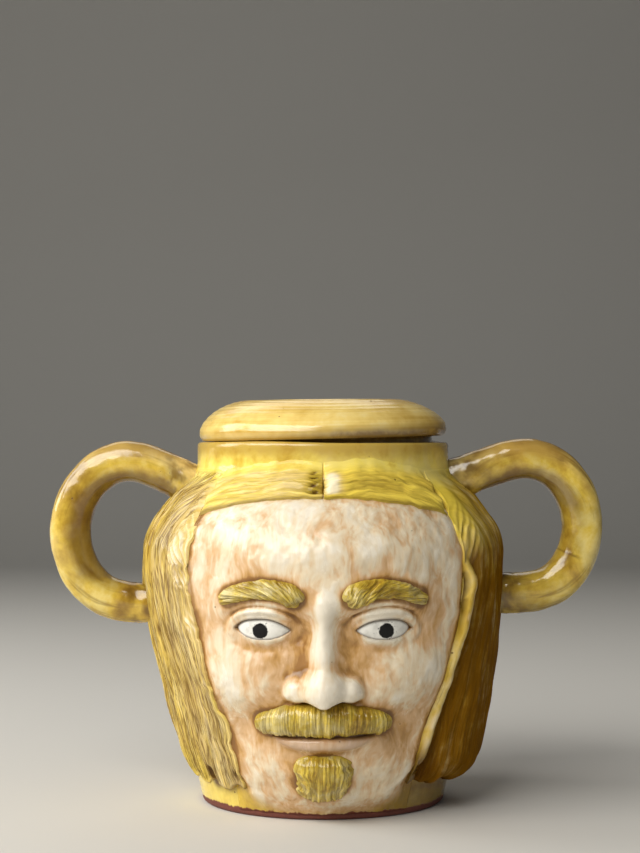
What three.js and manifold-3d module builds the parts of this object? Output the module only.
// A lidded face jug in glazed earthenware, put together the way a potter puts one together.
// A thrown pot carries two pulled handles, a slab of clay modelled as a face, rolled and combed sprigs for its
// features, and combed slabs of hair. A thrown lid drops into the mouth. Every piece of clay is a solid of its own,
// seated on its neighbours across a thin joint of slip.
// Millimetres, +Z up, the face looks along -Y, and the origin is the middle of the foot.

import * as THREE from "three";
import { mergeVertices } from "three/addons/utils/BufferGeometryUtils.js";
import Module from "manifold-3d";

const wasm = await Module();
wasm.setup();

const { degToRad, lerp, smoothstep } = THREE.MathUtils;

// Thrown pot
const FOOT_RADIUS = 54.5;
const FOOT_BEVEL = 2;
const FOOT_SPLAY = 0.22; // how far the wall leans out for each millimetre it rises from the foot
const SHOULDER_RADIUS = 78;
const SHOULDER_HEIGHT = 113;
const NECK_RADIUS = 57.2;
const SHOULDER_RISE = 41; // from the shoulder up to the neck
const COLLAR = 8.4; // from the neck up to the rim
const RIM_ROUND = 1.6;
const WALL = 6;
const FLOOR = 8;
const FLOOR_FILLET = 9;
const SLIP_JOINT = 0.3; // slip between two pieces of clay
const SEAT_DEPTH = 3; // how far a piece reaches down before its seat is pressed into it

const NECK_HEIGHT = SHOULDER_HEIGHT + SHOULDER_RISE;
const RIM_HEIGHT = NECK_HEIGHT + COLLAR;

// Thrown lid, which sits a little askew on a rim that dips at the front right
const LID_INSET = 0.9; // how far its edge stays inside the collar
const LID_THICKNESS = 17.4;
const LID_SHOULDER = 20; // width of the rounding between its edge and its flat top
const LID_EDGE_HEIGHT = 5; // where the lid is widest, above its seat
const LID_EDGE_ROUND = 3.4;
const LID_TILT = 1.4;
const LID_HOLLOW = 7;
const FLANGE_DEPTH = 11;
const FLANGE_WALL = 5;
const FLANGE_CLEARANCE = 1.6;

const LID_RADIUS = NECK_RADIUS - LID_INSET;
const LID_FLAT_RADIUS = LID_RADIUS - LID_SHOULDER;

// Pulled handles: how far the middle line of each reaches from the pot's axis, how far below the neck it is rooted,
// how far it arches above that root, and how far below its top it comes back to the pot.
const HANDLES = {
  left_handle: { side: -1, reach: 115.4, belowNeck: 11.5, arch: 11.1, loop: 64.4 },
  right_handle: { side: 1, reach: 118.4, belowNeck: 9.5, arch: 10.3, loop: 61.2 },
};
const HANDLE_WIDTH = 17.4;
const HANDLE_DEPTH = 18.6;
const HANDLE_ROUNDNESS = 0.85; // half width of the loop's bend for each half height
const HANDLE_ROOT_FLARE = 0.25; // share by which a handle swells where it is pressed on
const HANDLE_ROOT_LENGTH = 16;

// Face slab, laid out by the thirds and fifths of a drawing manual
const HAIRLINE_BELOW_NECK = 17.5;
const CHIN = 14;
const FACE_TUCK = 3; // how far the slab runs up under the hair
const FACE_BOTTOM = 4.5;
const FACE_ANGLE_TOP = 49; // half of the angle that the slab covers
const FACE_ANGLE_BOTTOM = 41;
const FACE_THICKNESS = 4;
const FACE_EDGE = 1.4;
const FACE_EDGE_ROLL = 9;
const FACE_HIDDEN = 3.7; // width at each side of the slab that the hair covers

const HAIRLINE = NECK_HEIGHT - HAIRLINE_BELOW_NECK;
const FACE_TOP = HAIRLINE + FACE_TUCK;
const FACE_WIDTH = 2 * (degToRad(FACE_ANGLE_TOP) * SHOULDER_RADIUS - FACE_HIDDEN);
const THIRD = (HAIRLINE - CHIN) / 3;
const FIFTH = FACE_WIDTH / 5;
const BROW = HAIRLINE - THIRD;
const NOSE_BASE = BROW - THIRD;
const MOUTH = NOSE_BASE - THIRD / 3;
const EYE = BROW - 0.27 * THIRD;

// Features of the face
const EYE_WIDTH = FIFTH;
const EYE_HEIGHT = 19;
const EYE_DEPTH = 6.4;
const EYE_PROUD = 0.4; // height of the eye's middle above the pot
const PUPIL_RADIUS = 3.1;
const PUPIL_DEPTH = 1;
const UPPER_LID_FOLD = 2.7; // half widths of the eyelids
const LOWER_LID_FOLD = 2.3;
const EYELID_RISE = 2;
const BROW_RISE = 3.6;
const BROW_HALF_WIDTH = 4;
const NOSE_RISE = 15;
const NOSE_ROOT_RISE = 4;
const NOSE_WING_RISE = 6;
const NOSE_EDGE = 0.6;
const NOSE_HALF_WIDTH = 12.2;
const NOSE_ROOT_HALF_WIDTH = 5.4;
const MOUSTACHE_LENGTH = 58;
const MOUSTACHE_HALF_WIDTH = 5.6;
const MOUSTACHE_RISE = 5.2;
const MOUTH_WIDTH = 40;
const LIP_RISE = 3.6;
const UPPER_LIP_HALF_WIDTH = 2;
const LOWER_LIP_HALF_WIDTH = 2.9;
const GOATEE_WIDTH = 25;
const GOATEE_LENGTH = 22;
const GOATEE_RISE = 5.6;
const COMB_DEPTH = 0.5;

// Hair, parted in the middle, swept off the forehead and hanging down both sides and the back.
// Each lock starts at an angle from the front that narrows towards its ends, and the right one kicks out there.
const LOCKS = {
  left_hair_lock: { side: -1, front: 45, frontLow: 34, kick: 0 },
  right_hair_lock: { side: 1, front: 50, frontLow: 37, kick: 8.5 },
};
const LOCK_BACK = 104;
const KICK_HEIGHT = 95; // how far up from its ends a lock kicks out
const LOCK_RIDGES = 5;
const BACK_RIDGES = 12;
const RIDGE_DEPTH = 2;
const RIDGE_SWAY = 3.5; // degrees by which the combing sways on its way down
const HAIR_RISE = 4.8;
const HAIR_EDGE = 1.6;
const HAIR_EDGE_ROLL = 6;
const HAIR_BELOW_NECK = 3.5;
const HAIR_BOTTOM = 15;
const HAIR_RAGGED = 2; // how far the ends of the locks are uneven
const FRINGE_DROP = 9.5; // how much lower the fringe hangs at the temple
const FRINGE_STEP = 6; // height over which it steps off the forehead
const FRINGE_TEMPLE = 52;
const FRINGE_PARTING = 0.5;
const FRINGE_RIDGES = 4;

const HAIR_TOP = NECK_HEIGHT - HAIR_BELOW_NECK;

// How finely curved faces are cut into facets
const POT_SEGMENTS = 32;
const WALL_STEPS = 12;
const ARC_STEPS = 3;
const HANDLE_STEPS = 18;
const HANDLE_SIDES = 12;

// Glazes and bare clay
const AMBER_GLAZE = { color: 0xb08a1c, roughness: 0.16, metalness: 0 };
const HAIR_GLAZE = { color: 0xa88418, roughness: 0.22, metalness: 0 };
const LID_GLAZE = { color: 0xb18a44, roughness: 0.18, metalness: 0 };
const FACE_SLIP = { color: 0xd3ac86, roughness: 0.35, metalness: 0 };
const BEARD_GLAZE = { color: 0xa79333, roughness: 0.22, metalness: 0 };
const EYE_SLIP = { color: 0xe8e6e0, roughness: 0.2, metalness: 0 };

// Radius of the pot's outside at a height: one cubic from the foot to the shoulder, one from the shoulder to the neck.
function potRadius(z) {
  if (z >= SHOULDER_HEIGHT) {
    return lerp(SHOULDER_RADIUS, NECK_RADIUS, smoothstep(z, SHOULDER_HEIGHT, NECK_HEIGHT));
  }
  const t = z / SHOULDER_HEIGHT;
  const foot = FOOT_RADIUS * (1 + 2 * t) * (1 - t) ** 2;
  const splay = FOOT_SPLAY * SHOULDER_HEIGHT * t * (1 - t) ** 2;
  return foot + splay + SHOULDER_RADIUS * t * t * (3 - 2 * t);
}

// A point at an angle from the front and a height on the pot, raised square to its wall.
function onPot(angle, z, rise) {
  const step = 0.01;
  const slope = (potRadius(z + step) - potRadius(z - step)) / (2 * step);
  const lean = 1 / Math.hypot(1, slope);
  const radius = potRadius(z) + rise * lean;
  return new THREE.Vector3(radius * Math.sin(angle), -radius * Math.cos(angle), z - rise * slope * lean);
}

// The same for the face, whose features are placed by their distance across from its middle line.
function onFace(across, z, rise) {
  return onPot(across / potRadius(z), z, rise);
}

// Full height in from an edge, and rounded down to nothing over the last stretch.
function rolledEdge(distance, roll) {
  return distance >= roll ? 1 : Math.sqrt(Math.max(0, 1 - (1 - distance / roll) ** 2));
}

// A smooth swelling or hollow of the clay round a middle.
function swelling(across, z, form) {
  const [x0, z0] = form.at;
  const [width, height] = form.size;
  return form.rise * Math.exp(-(((across - x0) / width) ** 2) - ((z - z0) / height) ** 2);
}

// Closed geometry from points and triangles, turned so that its faces point out.
function closedGeometry(points, triangles) {
  let volume = 0;
  for (let i = 0; i < triangles.length; i += 3) {
    const [a, b, c] = [0, 1, 2].map((k) => points[triangles[i + k]]);
    volume += a.dot(new THREE.Vector3().crossVectors(b, c));
  }
  const facingOut = volume > 0 ? triangles : triangles.toReversed();
  return new THREE.BufferGeometry().setFromPoints(points).setIndex(facingOut);
}

// A slab between two grids of points, closed round its edge.
function slab(columns, rows, outer, inner) {
  const points = [];
  const triangles = [];
  for (const side of [outer, inner]) {
    for (let j = 0; j <= rows; j++) {
      for (let i = 0; i <= columns; i++) points.push(side(i / columns, j / rows));
    }
  }
  const back = (columns + 1) * (rows + 1);
  const index = (i, j) => j * (columns + 1) + i;
  const quad = (a, b, c, d) => triangles.push(a, b, c, a, c, d);
  for (let j = 0; j < rows; j++) {
    for (let i = 0; i < columns; i++) {
      const corners = [index(i, j), index(i + 1, j), index(i + 1, j + 1), index(i, j + 1)];
      quad(...corners);
      quad(...corners.map((k) => k + back).toReversed());
    }
  }
  const edge = [];
  for (let i = 0; i < columns; i++) edge.push(index(i, 0));
  for (let j = 0; j < rows; j++) edge.push(index(columns, j));
  for (let i = columns; i > 0; i--) edge.push(index(i, rows));
  for (let j = rows; j > 0; j--) edge.push(index(0, j));
  edge.forEach((a, k) => {
    const b = edge[(k + 1) % edge.length];
    quad(b, a, a + back, b + back);
  });
  return closedGeometry(points, triangles);
}

// A roll of clay laid along a line on the face: half its width and its rise vary along it.
function roll({ spine, halfWidth, rise, seat, columns = 4, rows = 10, grow = 0 }) {
  const place = (u, v) => {
    const middle = spine.getPoint(v);
    const along = spine.getTangent(v);
    const aside = (2 * u - 1) * (halfWidth(v) + grow);
    return [middle.x - along.y * aside, middle.y + along.x * aside];
  };
  const outer = (u, v) => {
    const [across, z] = place(u, v);
    const domed = Math.sqrt(Math.max(0.06, 1 - (2 * u - 1) ** 2));
    return onFace(across, z, seat(across, z) + rise(u, v) * domed + grow);
  };
  const inner = (u, v) => {
    const [across, z] = place(u, v);
    return onFace(across, z, seat(across, z) - SEAT_DEPTH);
  };
  return slab(columns, rows, outer, inner);
}

// A line on the face through points given as distance across and height.
function faceLine(...points) {
  return new THREE.SplineCurve(points.map(([across, z]) => new THREE.Vector2(across, z)));
}

// Tapers a roll of clay to a blunt point at both ends, or holds its width.
function blunted(v, fullness) {
  return Math.max(0.18, (1 - Math.abs(2 * v - 1) ** fullness) ** 0.5);
}

function solidOf(geometry) {
  const bare = geometry.clone();
  bare.deleteAttribute("normal");
  bare.deleteAttribute("uv");
  const merged = mergeVertices(bare);
  const corners = merged.index.array;
  const triVerts = [];
  for (let i = 0; i < corners.length; i += 3) {
    const [a, b, c] = corners.slice(i, i + 3);
    if (a !== b && b !== c && c !== a) triVerts.push(a, b, c);
  }
  const vertProperties = merged.attributes.position.array;
  const mesh = new wasm.Mesh({ numProp: 3, vertProperties, triVerts: new Uint32Array(triVerts) });
  return new wasm.Manifold(mesh);
}

function geometryOf(solid) {
  const { vertProperties, triVerts } = solid.getMesh();
  const geometry = new THREE.BufferGeometry();
  geometry.setAttribute("position", new THREE.BufferAttribute(vertProperties, 3));
  geometry.setIndex(new THREE.BufferAttribute(triVerts, 1));
  geometry.computeVertexNormals();
  return geometry;
}

// What is left of a piece after its neighbours are pressed into it, without the crumbs.
function pressed(geometry, ...neighbours) {
  const whole = neighbours.reduce((left, neighbour) => left.subtract(solidOf(neighbour)), solidOf(geometry));
  const parts = whole.decompose().sort((a, b) => b.volume() - a.volume());
  return geometryOf(parts[0]);
}

// Points along part of an ellipse about a middle.
function arc(middle, width, height, from, to) {
  return Array.from({ length: ARC_STEPS + 1 }, (_, k) => {
    const turn = degToRad(lerp(from, to, k / ARC_STEPS));
    return new THREE.Vector2(middle[0] + width * Math.cos(turn), middle[1] + height * Math.sin(turn));
  });
}

// Turns a profile of radii and heights about the pot's axis.
function turned(profile) {
  const lathe = new THREE.LatheGeometry(profile, POT_SEGMENTS).rotateX(Math.PI / 2);
  const points = [];
  const position = lathe.attributes.position;
  for (let i = 0; i < position.count; i++) points.push(new THREE.Vector3().fromBufferAttribute(position, i));
  return closedGeometry(points, [...lathe.index.array]);
}

// Heights up the wall between two levels.
function wallHeights(from, to, steps = WALL_STEPS) {
  return Array.from({ length: steps + 1 }, (_, k) => lerp(from, to, k / steps));
}

// How far the rim stands above its lowest level: with the lid, but for a dip at the front right.
function rimLift(x, y) {
  const dipAcross = 0.8;
  const dipForward = 0.6;
  const towardsDip = (x * dipAcross - y * dipForward) / NECK_RADIUS;
  const lidLine = (x + NECK_RADIUS) * Math.tan(degToRad(LID_TILT));
  return lidLine * (1 - smoothstep(towardsDip, 0, 0.7));
}

// The solid of the pot's outside, swelled by a gap, that other pieces are seated on.
function potBlank(gap) {
  const outside = wallHeights(FOOT_BEVEL, RIM_HEIGHT - RIM_ROUND).map((z) => {
    const p = onPot(Math.PI / 2, z, gap);
    return new THREE.Vector2(p.x, p.z);
  });
  const floor = outside[0].y;
  const top = outside.at(-1).y;
  return turned([new THREE.Vector2(0, floor), ...outside, new THREE.Vector2(0, top)]);
}

function potBody() {
  const inside = (z) => potRadius(z) - WALL;
  const filletTop = FLOOR + FLOOR_FILLET;
  const bore = inside(filletTop) - FLOOR_FILLET;
  const profile = [
    new THREE.Vector2(0, 0),
    new THREE.Vector2(FOOT_RADIUS - FOOT_BEVEL, 0),
    ...wallHeights(FOOT_BEVEL, RIM_HEIGHT - RIM_ROUND).map((z) => new THREE.Vector2(potRadius(z), z)),
    ...arc([NECK_RADIUS - WALL / 2, RIM_HEIGHT - RIM_ROUND], WALL / 2, RIM_ROUND, 40, 140),
    ...wallHeights(RIM_HEIGHT - RIM_ROUND, filletTop, WALL_STEPS / 2).map((z) => new THREE.Vector2(inside(z), z)),
    ...arc([bore, filletTop], FLOOR_FILLET, FLOOR_FILLET, -15, -90),
    new THREE.Vector2(0, FLOOR),
  ];
  const pot = turned(profile);
  const position = pot.attributes.position;
  for (let i = 0; i < position.count; i++) {
    const [x, y, z] = [position.getX(i), position.getY(i), position.getZ(i)];
    const rising = smoothstep(z, NECK_HEIGHT, RIM_HEIGHT - RIM_ROUND);
    position.setZ(i, z + rising * rimLift(x, y));
  }
  return pot;
}

// The lid's own frame is at the middle of its seat.
function lid() {
  const flange = NECK_RADIUS - WALL - FLANGE_CLEARANCE;
  const hollow = flange - FLANGE_WALL;
  const underEdge = [LID_RADIUS - LID_EDGE_ROUND, LID_EDGE_HEIGHT];
  const topEdge = [LID_FLAT_RADIUS, LID_EDGE_HEIGHT];
  const dome = LID_THICKNESS - LID_EDGE_HEIGHT;
  return turned([
    new THREE.Vector2(0, LID_HOLLOW),
    new THREE.Vector2(hollow - LID_HOLLOW / 2, LID_HOLLOW),
    new THREE.Vector2(hollow, LID_HOLLOW / 2),
    new THREE.Vector2(hollow, -FLANGE_DEPTH),
    new THREE.Vector2(flange, -FLANGE_DEPTH),
    new THREE.Vector2(flange, 0),
    ...arc(underEdge, LID_EDGE_ROUND, LID_EDGE_HEIGHT, -90, 0),
    ...arc(topEdge, LID_RADIUS - LID_FLAT_RADIUS, dome, 15, 90),
    new THREE.Vector2(0, LID_THICKNESS),
  ]);
}

// A handle: an oval roll of clay along a loop in the plane of the pot's axis, swelling at both roots.
function handle({ side, reach, belowNeck, arch, loop }, grow = 0) {
  const sink = WALL / 2;
  const root = NECK_HEIGHT - belowNeck;
  const top = root + arch;
  const bottom = top - loop;
  const rise = loop / 2;
  const out = rise * HANDLE_ROUNDNESS;
  const bends = [90, 60, 30, 0, -30, -60, -90].map((turn) => {
    const across = reach - out + out * Math.cos(degToRad(turn));
    return new THREE.Vector3(side * across, 0, top - rise + rise * Math.sin(degToRad(turn)));
  });
  const upperRoot = new THREE.Vector3(side * (potRadius(root) - sink), 0, root);
  const lowerRoot = new THREE.Vector3(side * (potRadius(bottom) - sink), 0, bottom);
  const path = new THREE.CatmullRomCurve3([upperRoot, ...bends, lowerRoot], false, "centripetal");
  const length = path.getLength();
  const points = [];
  const triangles = [];
  for (let j = 0; j <= HANDLE_STEPS; j++) {
    const along = j / HANDLE_STEPS;
    const fromRoot = Math.min(along, 1 - along) * length;
    const flare = 1 + HANDLE_ROOT_FLARE * (1 - smoothstep(fromRoot, 0, HANDLE_ROOT_LENGTH));
    const middle = path.getPointAt(along);
    const ahead = path.getTangentAt(along);
    const aside = new THREE.Vector3(ahead.z, 0, -ahead.x);
    for (let i = 0; i < HANDLE_SIDES; i++) {
      const turn = (2 * Math.PI * i) / HANDLE_SIDES;
      const point = middle.clone().addScaledVector(aside, ((HANDLE_WIDTH / 2) * flare + grow) * Math.cos(turn));
      point.y += ((HANDLE_DEPTH / 2) * flare + grow) * Math.sin(turn);
      points.push(point);
    }
  }
  const [first, last] = [points.push(upperRoot.clone()) - 1, points.push(lowerRoot.clone()) - 1];
  const ring = (j, i) => j * HANDLE_SIDES + (i % HANDLE_SIDES);
  for (let i = 0; i < HANDLE_SIDES; i++) {
    for (let j = 0; j < HANDLE_STEPS; j++) {
      const [a, b, c, d] = [ring(j, i), ring(j, i + 1), ring(j + 1, i + 1), ring(j + 1, i)];
      triangles.push(a, b, c, a, c, d);
    }
    triangles.push(ring(0, i + 1), ring(0, i), first);
    triangles.push(ring(HANDLE_STEPS, i), ring(HANDLE_STEPS, i + 1), last);
  }
  return closedGeometry(points, triangles);
}

// Swellings and hollows of the face, each given as where it is, how far it spreads and how far it rises.
const FACE_FORMS = [
  { at: [0, HAIRLINE - 0.5 * THIRD], size: [1.7 * FIFTH, 0.6 * THIRD], rise: 2.4 },
  { at: [0, BROW], size: [0.45 * FIFTH, 0.2 * THIRD], rise: 1.2 },
  { at: [0, MOUTH + 0.06 * THIRD], size: [FIFTH, 0.5 * THIRD], rise: 4 },
  { at: [0, MOUTH - 0.27 * THIRD], size: [0.55 * FIFTH, 0.1 * THIRD], rise: -1.6 },
  { at: [0, CHIN + 0.27 * THIRD], size: [0.75 * FIFTH, 0.27 * THIRD], rise: 5.4 },
  ...[-1, 1].flatMap((side) => [
    { at: [side * 0.95 * FIFTH, BROW - 0.03 * THIRD], size: [0.75 * FIFTH, 0.14 * THIRD], rise: 3.2 },
    { at: [side * FIFTH, EYE - 0.03 * THIRD], size: [0.64 * FIFTH, 0.27 * THIRD], rise: -3.4 },
    { at: [side * 1.5 * FIFTH, EYE - 0.5 * THIRD], size: [0.65 * FIFTH, 0.34 * THIRD], rise: 4.2 },
  ]),
];

function faceRise(across, z) {
  return FACE_FORMS.reduce((sum, form) => sum + swelling(across, z, form), FACE_THICKNESS);
}

function faceHalfAngle(z) {
  return degToRad(lerp(FACE_ANGLE_BOTTOM, FACE_ANGLE_TOP, smoothstep(z, FACE_BOTTOM, BROW)));
}

// How far in from the slab's nearest edge a point lies: less than nothing outside it.
function insideFace(angle, z) {
  return Math.min((faceHalfAngle(z) - Math.abs(angle)) * potRadius(z), z - FACE_BOTTOM, FACE_TOP - z);
}

// Height of the slab above the pot, rolled down at its edges.
function faceHeight(angle, z) {
  const full = rolledEdge(Math.max(0, insideFace(angle, z)), FACE_EDGE_ROLL);
  return lerp(FACE_EDGE, faceRise(angle * potRadius(z), z), full);
}

// What hair stands on: the slab where there is one, and elsewhere the bare pot.
function underHair(angle, z) {
  return insideFace(angle, z) < -SLIP_JOINT ? 0 : faceHeight(angle, z);
}

function faceSlab(grow = 0) {
  const columns = 18;
  const rows = 18;
  const place = (u, v) => {
    const z = lerp(FACE_BOTTOM - grow, FACE_TOP + grow, v);
    return [(2 * u - 1) * (faceHalfAngle(z) + grow / potRadius(z)), z];
  };
  const outer = (u, v) => {
    const [angle, z] = place(u, v);
    return onPot(angle, z, faceHeight(angle, z) + grow);
  };
  return slab(columns, rows, outer, (u, v) => onPot(...place(u, v), -SEAT_DEPTH));
}

// Eyes: flattened balls of white clay pressed into the sockets.
function eyeBall(side, grow = 0) {
  const ball = new THREE.SphereGeometry(1, 16, 8);
  ball.scale(EYE_WIDTH / 2 + grow, EYE_DEPTH + grow, EYE_HEIGHT / 2 + grow);
  return ball.applyMatrix4(eyePlace(side));
}

function eyePlace(side) {
  const middle = onFace(side * FIFTH, EYE, EYE_PROUD);
  const turn = (side * FIFTH) / potRadius(EYE);
  return new THREE.Matrix4().makeRotationZ(turn).setPosition(middle);
}

function pupilPunch(side) {
  const reach = 2 * PUPIL_DEPTH;
  const punch = new THREE.CylinderGeometry(PUPIL_RADIUS, PUPIL_RADIUS, reach, 10);
  return punch.translate(0, -EYE_DEPTH, 0).applyMatrix4(eyePlace(side));
}

// Height of whatever lies under an eyelid: the face, or the eye where that stands higher.
function eyeSeat(side) {
  return (across, z) => {
    const x = (across - side * FIFTH) / (EYE_WIDTH / 2);
    const y = (z - EYE) / (EYE_HEIGHT / 2);
    const eye = EYE_PROUD + EYE_DEPTH * Math.sqrt(Math.max(0, 1 - x * x - y * y));
    return Math.max(faceRise(across, z), eye);
  };
}

function eyelid(side, bend, fold, grow = 0) {
  const inner = FIFTH - 0.52 * EYE_WIDTH;
  const outer = FIFTH + 0.54 * EYE_WIDTH;
  const spine = faceLine(
    [side * inner, EYE - 0.04 * EYE_HEIGHT],
    [side * (FIFTH - 0.25 * EYE_WIDTH), EYE + 0.72 * bend],
    [side * FIFTH, EYE + bend],
    [side * (FIFTH + 0.28 * EYE_WIDTH), EYE + 0.7 * bend],
    [side * outer, EYE + 0.02 * EYE_HEIGHT],
  );
  const halfWidth = (v) => fold * blunted(v, 4);
  const rise = (u, v) => EYELID_RISE * blunted(v, 3);
  return roll({ spine, halfWidth, rise, seat: eyeSeat(side), rows: 8, grow });
}

const upperEyelid = (side, grow) => eyelid(side, 0.42 * EYE_HEIGHT, UPPER_LID_FOLD, grow);
const lowerEyelid = (side, grow) => eyelid(side, -0.38 * EYE_HEIGHT, LOWER_LID_FOLD, grow);

function eyebrow(side, grow = 0) {
  const spine = faceLine(
    [side * 0.34 * FIFTH, BROW + 0.02 * THIRD],
    [side * 0.95 * FIFTH, BROW + 0.15 * THIRD],
    [side * 1.75 * FIFTH, BROW + 0.01 * THIRD],
  );
  const halfWidth = (v) => BROW_HALF_WIDTH * blunted(v, 5) * (1 - 0.35 * v);
  const rise = (u, v) => BROW_RISE * blunted(v, 4);
  return roll({ spine, halfWidth, rise, seat: faceRise, rows: 8, grow });
}

function nose(grow = 0) {
  const columns = 10;
  const rows = 10;
  const rootHeight = BROW + 0.04 * THIRD;
  const place = (u, v) => {
    const wide = lerp(NOSE_HALF_WIDTH, NOSE_ROOT_HALF_WIDTH, smoothstep(v, 0.12, 0.75)) + grow;
    return [(2 * u - 1) * wide, lerp(NOSE_BASE - grow, rootHeight + grow, v)];
  };
  const outer = (u, v) => {
    const s = Math.abs(2 * u - 1);
    const above = Math.max(0, (v - 0.22) / 0.78);
    const bridge = lerp(NOSE_RISE, NOSE_ROOT_RISE, above ** 0.85) * smoothstep(1 - v, -0.04, 0.16);
    const underTip = lerp(0.55, 1, Math.sqrt(Math.min(1, v / 0.22)));
    const ridge = bridge * underTip * Math.cos((Math.PI / 2) * s) ** 1.2;
    const wing = NOSE_WING_RISE * Math.exp(-(((s - 0.72) / 0.24) ** 2) - ((v - 0.13) / 0.13) ** 2);
    const [across, z] = place(u, v);
    return onFace(across, z, faceRise(across, z) + NOSE_EDGE + ridge + wing * (1 - s ** 6) + grow);
  };
  const inner = (u, v) => {
    const [across, z] = place(u, v);
    return onFace(across, z, faceRise(across, z) - SEAT_DEPTH);
  };
  return slab(columns, rows, outer, inner);
}

// A lip lies along the line of the mouth, above or below it.
function lip(way, halfWidth, grow = 0) {
  const half = MOUTH_WIDTH / 2;
  const wide = (v) => halfWidth * blunted(v, 2.6);
  const stations = [0, 0.2, 0.4, 0.5, 0.6, 0.8, 1];
  const spine = faceLine(...stations.map((v) => [(2 * v - 1) * half, MOUTH + way * (wide(v) + SLIP_JOINT)]));
  const rise = (u, v) => LIP_RISE * blunted(v, 2.4);
  return roll({ spine, halfWidth: wide, rise, seat: faceRise, rows: 10, grow });
}

const upperLip = (grow) => lip(1, UPPER_LIP_HALF_WIDTH, grow);
const lowerLip = (grow) => lip(-1, LOWER_LIP_HALF_WIDTH, grow);

function moustache(grow = 0) {
  const half = MOUSTACHE_LENGTH / 2;
  const middle = (NOSE_BASE + MOUTH) / 2;
  const spine = faceLine(
    [-half, middle - 0.08 * THIRD],
    [-half / 2, middle],
    [0, middle + 0.01 * THIRD],
    [half / 2, middle],
    [half, middle - 0.08 * THIRD],
  );
  const combs = 10;
  const halfWidth = (v) => MOUSTACHE_HALF_WIDTH * blunted(v, 5);
  const rise = (u, v) => MOUSTACHE_RISE * blunted(v, 5) + COMB_DEPTH * Math.cos(2 * Math.PI * combs * v);
  return roll({ spine, halfWidth, rise, seat: faceRise, rows: 2 * combs, grow });
}

function goatee(grow = 0) {
  const top = CHIN + 0.47 * THIRD;
  const spine = faceLine([0, top], [0, top - GOATEE_LENGTH / 2], [0, top - GOATEE_LENGTH]);
  const combs = 7;
  const halfWidth = (v) => (GOATEE_WIDTH / 2) * lerp(1, 0.86, v) * (1 - 0.12 * Math.abs(2 * v - 1) ** 5);
  const rise = (u, v) => {
    const comb = COMB_DEPTH * Math.cos(2 * Math.PI * combs * u);
    return GOATEE_RISE * rolledEdge(Math.min(v, 1 - v) + 0.06, 0.4) + comb;
  };
  return roll({ spine, halfWidth, rise, seat: faceRise, columns: 2 * combs, rows: 5, grow });
}

// Half of the hair above the forehead, swept outwards from the parting and widening towards the temple.
function fringe(side, grow = 0) {
  const columns = 9;
  const rows = 2 * FRINGE_RIDGES;
  const place = (u, v) => {
    const parting = (FRINGE_PARTING - grow) / NECK_RADIUS;
    const angle = lerp(parting, degToRad(FRINGE_TEMPLE) + grow / NECK_RADIUS, u);
    const low = HAIRLINE - FRINGE_DROP * u * u - grow;
    return [side * angle, lerp(low, HAIR_TOP + grow, v ** (1 - 0.4 * u))];
  };
  const outer = (u, v) => {
    const [angle, z] = place(u, v);
    const fromEdge = Math.min(v, 1 - v) * (HAIR_TOP - HAIRLINE);
    const full = rolledEdge(Math.min(fromEdge, Math.abs(angle) * NECK_RADIUS), HAIR_EDGE_ROLL);
    const trough = Math.round(v * rows) % 2 ? 0 : RIDGE_DEPTH;
    const onForehead = FACE_THICKNESS * (1 - smoothstep(z, FACE_TOP, FACE_TOP + FRINGE_STEP));
    return onPot(angle, z, onForehead + lerp(HAIR_EDGE, HAIR_RISE - trough, full) + grow);
  };
  return slab(columns, rows, outer, (u, v) => onPot(...place(u, v), -SEAT_DEPTH));
}

// A combed slab of hanging hair between two angles, from the neck to its ragged ends above the foot.
function hangingHair({ from, fromLow, to, ridges, kick, grow = 0 }) {
  const rows = 9;
  const columns = 3 * ridges;
  const place = (u, v) => {
    const ends = HAIR_BOTTOM + HAIR_RAGGED * Math.sin(4.8 * ridges * u);
    const z = lerp(ends - grow, HAIR_TOP + grow, v);
    const low = 1 - smoothstep(z, HAIR_BOTTOM, SHOULDER_HEIGHT);
    const sway = degToRad(RIDGE_SWAY) * Math.sin(Math.PI * u) * Math.sin(4.4 * v + ridges);
    const start = degToRad(lerp(from, fromLow, low));
    const margin = (Math.sign(to - from) * grow) / potRadius(z);
    return [lerp(start - margin, degToRad(to) + margin, u) + sway, z];
  };
  const outer = (u, v) => {
    const [angle, z] = place(u, v);
    const across = Math.abs(degToRad(to - from)) * potRadius(z);
    const fromEdge = Math.min(Math.min(u, 1 - u) * across, v * (HAIR_TOP - HAIR_BOTTOM), HAIR_TOP - z);
    const full = rolledEdge(Math.max(0, fromEdge), HAIR_EDGE_ROLL);
    const trough = RIDGE_DEPTH * (0.5 + 0.5 * Math.cos(2 * Math.PI * ridges * u));
    const kicked = kick * (1 - smoothstep(z, HAIR_BOTTOM, HAIR_BOTTOM + KICK_HEIGHT)) * Math.sin(Math.PI * u);
    const rise = lerp(HAIR_EDGE, HAIR_RISE + kicked - trough, full);
    return onPot(angle, z, Math.max(rise, underHair(angle, z) + HAIR_EDGE) + grow);
  };
  return slab(columns, rows, outer, (u, v) => onPot(...place(u, v), -SEAT_DEPTH));
}

function hairLock({ side, front, frontLow, kick }) {
  return hangingHair({ from: side * front, fromLow: side * frontLow, to: side * LOCK_BACK, ridges: LOCK_RIDGES, kick });
}

function backHair() {
  const seam = THREE.MathUtils.radToDeg(SLIP_JOINT / NECK_RADIUS);
  const from = LOCK_BACK + seam;
  return hangingHair({ from, fromLow: from, to: 360 - from, ridges: BACK_RIDGES, kick: 0 });
}

function mesh(name, geometry, glaze) {
  const made = new THREE.Mesh(geometry, new THREE.MeshStandardMaterial(glaze));
  made.name = name;
  return made;
}

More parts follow.
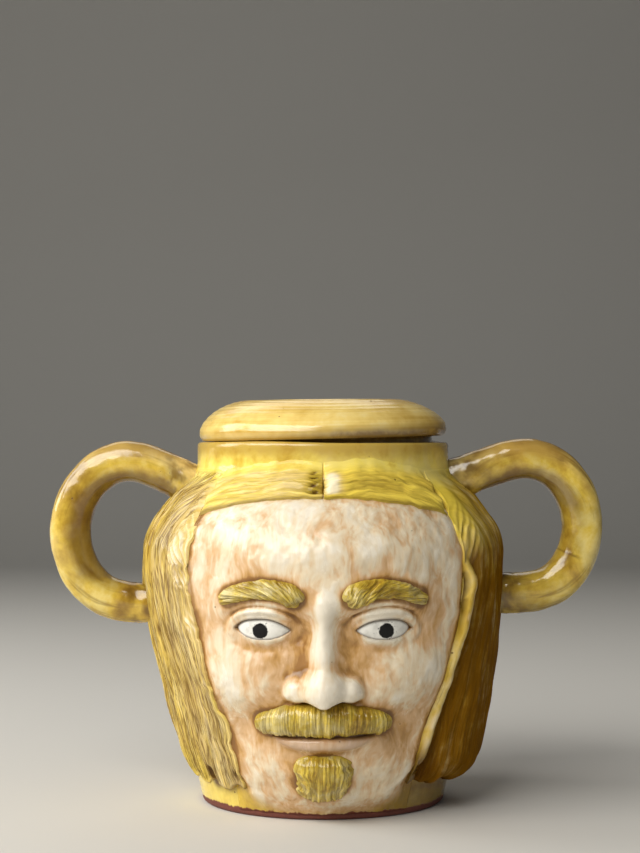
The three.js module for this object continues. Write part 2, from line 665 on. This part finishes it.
// Pot and handles
const jug = new THREE.Group();
const seatOnPot = potBlank(SLIP_JOINT);
const handleSeats = [];
jug.add(mesh("jug_body", potBody(), AMBER_GLAZE));
for (const [name, shape] of Object.entries(HANDLES)) {
  jug.add(mesh(name, pressed(handle(shape), seatOnPot), AMBER_GLAZE));
  handleSeats.push(handle(shape, SLIP_JOINT));
}

// Face and its features, each pressed onto what lies under it
const sides = { left: -1, right: 1 };
const face = new THREE.Group();
const seatOnFace = faceSlab(SLIP_JOINT);
const eyeSockets = Object.values(sides).map((side) => eyeBall(side, SLIP_JOINT));
face.add(mesh("face_slab", pressed(faceSlab(), seatOnPot, ...eyeSockets), FACE_SLIP));
face.add(mesh("nose", pressed(nose(), seatOnFace, ...eyeSockets), FACE_SLIP));
const noseSeat = nose(SLIP_JOINT);
for (const [label, side] of Object.entries(sides)) {
  const socket = eyeBall(side, SLIP_JOINT);
  const lowerSeat = lowerEyelid(side, SLIP_JOINT);
  const upperSeat = upperEyelid(side, SLIP_JOINT);
  face.add(mesh(`${label}_eye`, pressed(eyeBall(side), seatOnPot, pupilPunch(side)), EYE_SLIP));
  face.add(mesh(`${label}_lower_eyelid`, pressed(lowerEyelid(side), seatOnFace, socket, noseSeat), FACE_SLIP));
  const upper = pressed(upperEyelid(side), seatOnFace, socket, lowerSeat, noseSeat);
  face.add(mesh(`${label}_upper_eyelid`, upper, FACE_SLIP));
  face.add(mesh(`${label}_eyebrow`, pressed(eyebrow(side), seatOnFace, upperSeat, noseSeat), BEARD_GLAZE));
}
face.add(mesh("lower_lip", pressed(lowerLip(), seatOnFace), FACE_SLIP));
face.add(mesh("upper_lip", pressed(upperLip(), seatOnFace, lowerLip(SLIP_JOINT)), FACE_SLIP));
const moustacheSeats = [seatOnFace, upperLip(SLIP_JOINT), lowerLip(SLIP_JOINT), noseSeat];
face.add(mesh("moustache", pressed(moustache(), ...moustacheSeats), BEARD_GLAZE));
face.add(mesh("goatee", pressed(goatee(), seatOnFace, lowerLip(SLIP_JOINT)), BEARD_GLAZE));
jug.add(face);

// Hair, laid over the edges of the face and round the handles
const hair = new THREE.Group();
const browSeats = Object.values(sides).map((side) => eyebrow(side, SLIP_JOINT));
const hairSeats = [seatOnPot, seatOnFace, ...browSeats, ...handleSeats];
const fringeSeats = Object.values(sides).map((side) => fringe(side, SLIP_JOINT));
for (const [label, side] of Object.entries(sides)) {
  hair.add(mesh(`${label}_fringe`, pressed(fringe(side), ...hairSeats), HAIR_GLAZE));
}
for (const [name, shape] of Object.entries(LOCKS)) {
  hair.add(mesh(name, pressed(hairLock(shape), ...fringeSeats, ...hairSeats), HAIR_GLAZE));
}
hair.add(mesh("back_hair", pressed(backHair(), seatOnPot, ...handleSeats), HAIR_GLAZE));
jug.add(hair);

// Lid, resting on the rim at its left and back
const lidSeat = new THREE.Group();
lidSeat.position.z = RIM_HEIGHT + SLIP_JOINT + NECK_RADIUS * Math.tan(degToRad(LID_TILT));
lidSeat.rotation.y = -degToRad(LID_TILT);
lidSeat.add(mesh("lid", lid(), LID_GLAZE));
jug.add(lidSeat);

export default jug;
